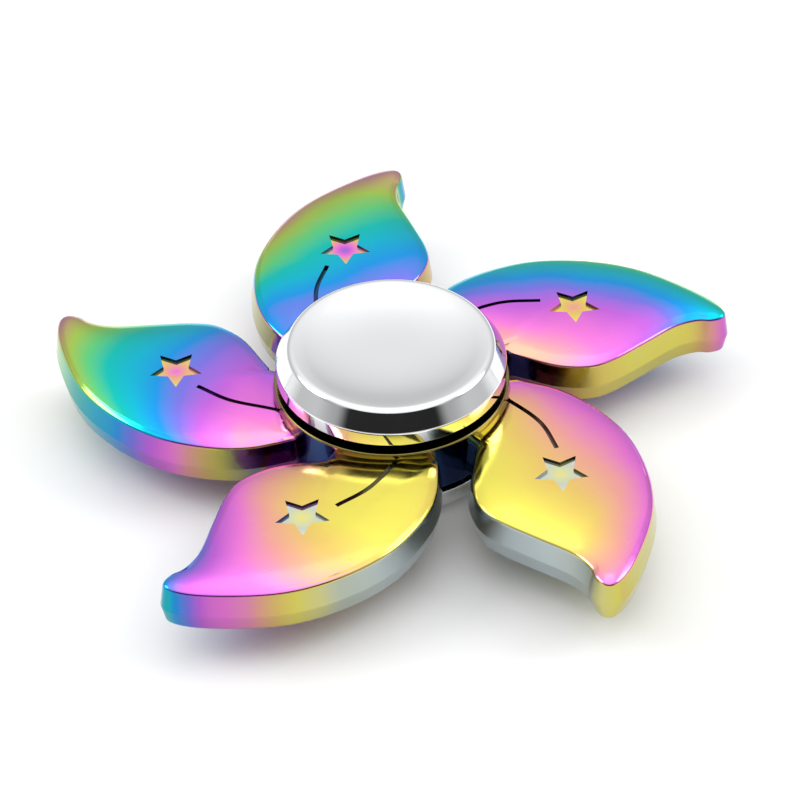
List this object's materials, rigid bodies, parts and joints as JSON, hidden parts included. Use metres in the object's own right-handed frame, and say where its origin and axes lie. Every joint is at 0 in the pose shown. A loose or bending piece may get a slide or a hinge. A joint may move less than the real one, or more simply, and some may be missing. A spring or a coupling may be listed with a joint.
{
  "type": "fidget spinner",
  "caption": "Hand-held spinner: a flower-shaped metal rotor with curved petals, turning on a small ball bearing between two dished round finger caps.",
  "frame": {"origin": "centre of the ball bearing, on the spin axis and on the middle plane between the two finger caps", "axes": "+Z along the spin axis towards the upper cap and the crowned face of the petals; at rest the first petal points 102 degrees round from +X"},
  "size_m": [0.0661, 0.0633, 0.0136],
  "materials": {
    "petal_plating": "mirror-bright rainbow plating on die-cast zinc, running from yellow through magenta and blue to green",
    "cap_chrome": "bright chrome plating",
    "bearing_steel": "ground and polished bearing steel",
    "cage_nylon": "natural nylon",
    "spring_steel": "satin steel"
  },
  "bodies": {
    "finger_hub": {"upper_cap": "cap_chrome", "lower_cap": "cap_chrome", "upper_spacer": "spring_steel", "lower_spacer": "spring_steel", "bearing_inner_race": "bearing_steel"},
    "flower": {"flower_body": "petal_plating", "bearing_outer_race": "bearing_steel", "upper_bearing_shield": "bearing_steel", "lower_bearing_shield": "bearing_steel", "upper_shield_clip": "spring_steel", "lower_shield_clip": "spring_steel"},
    "ball_cage": {"ball_cage": "cage_nylon"},
    "ball_01": {"bearing_ball_01": "bearing_steel"},
    "ball_02": {"bearing_ball_02": "bearing_steel"},
    "ball_03": {"bearing_ball_03": "bearing_steel"},
    "ball_04": {"bearing_ball_04": "bearing_steel"},
    "ball_05": {"bearing_ball_05": "bearing_steel"},
    "ball_06": {"bearing_ball_06": "bearing_steel"},
    "ball_07": {"bearing_ball_07": "bearing_steel"},
    "ball_08": {"bearing_ball_08": "bearing_steel"},
    "ball_09": {"bearing_ball_09": "bearing_steel"},
    "ball_10": {"bearing_ball_10": "bearing_steel"}
  },
  "joints": [
    {"name": "flower_spin", "type": "hinge", "parent": "finger_hub", "child": "flower", "pos_m": [0, 0, 0], "axis": [0, 0, 1], "continuous": true},
    {"name": "cage_spin", "type": "hinge", "parent": "finger_hub", "child": "ball_cage", "pos_m": [0, 0, 0], "axis": [0, 0, 1], "continuous": true},
    {"name": "ball_01_spin", "type": "hinge", "parent": "ball_cage", "child": "ball_01", "pos_m": [0.00476, 0, 0], "axis": [0, 0, 1], "continuous": true},
    {"name": "ball_02_spin", "type": "hinge", "parent": "ball_cage", "child": "ball_02", "pos_m": [0.00385, 0.0028, 0], "axis": [0, 0, 1], "continuous": true},
    {"name": "ball_03_spin", "type": "hinge", "parent": "ball_cage", "child": "ball_03", "pos_m": [0.00147, 0.00453, 0], "axis": [0, 0, 1], "continuous": true},
    {"name": "ball_04_spin", "type": "hinge", "parent": "ball_cage", "child": "ball_04", "pos_m": [-0.00147, 0.00453, 0], "axis": [0, 0, 1], "continuous": true},
    {"name": "ball_05_spin", "type": "hinge", "parent": "ball_cage", "child": "ball_05", "pos_m": [-0.00385, 0.0028, 0], "axis": [0, 0, 1], "continuous": true},
    {"name": "ball_06_spin", "type": "hinge", "parent": "ball_cage", "child": "ball_06", "pos_m": [-0.00476, 0, 0], "axis": [0, 0, 1], "continuous": true},
    {"name": "ball_07_spin", "type": "hinge", "parent": "ball_cage", "child": "ball_07", "pos_m": [-0.00385, -0.0028, 0], "axis": [0, 0, 1], "continuous": true},
    {"name": "ball_08_spin", "type": "hinge", "parent": "ball_cage", "child": "ball_08", "pos_m": [-0.00147, -0.00453, 0], "axis": [0, 0, 1], "continuous": true},
    {"name": "ball_09_spin", "type": "hinge", "parent": "ball_cage", "child": "ball_09", "pos_m": [0.00147, -0.00453, 0], "axis": [0, 0, 1], "continuous": true},
    {"name": "ball_10_spin", "type": "hinge", "parent": "ball_cage", "child": "ball_10", "pos_m": [0.00385, -0.0028, 0], "axis": [0, 0, 1], "continuous": true}
  ],
  "couplings": [
    {"joint": "cage_spin", "follows": "flower_spin", "ratio": 0.58333},
    {"joint": "ball_01_spin", "follows": "flower_spin", "ratio": 2.9167},
    {"joint": "ball_02_spin", "follows": "flower_spin", "ratio": 2.9167},
    {"joint": "ball_03_spin", "follows": "flower_spin", "ratio": 2.9167},
    {"joint": "ball_04_spin", "follows": "flower_spin", "ratio": 2.9167},
    {"joint": "ball_05_spin", "follows": "flower_spin", "ratio": 2.9167},
    {"joint": "ball_06_spin", "follows": "flower_spin", "ratio": 2.9167},
    {"joint": "ball_07_spin", "follows": "flower_spin", "ratio": 2.9167},
    {"joint": "ball_08_spin", "follows": "flower_spin", "ratio": 2.9167},
    {"joint": "ball_09_spin", "follows": "flower_spin", "ratio": 2.9167},
    {"joint": "ball_10_spin", "follows": "flower_spin", "ratio": 2.9167}
  ]
}
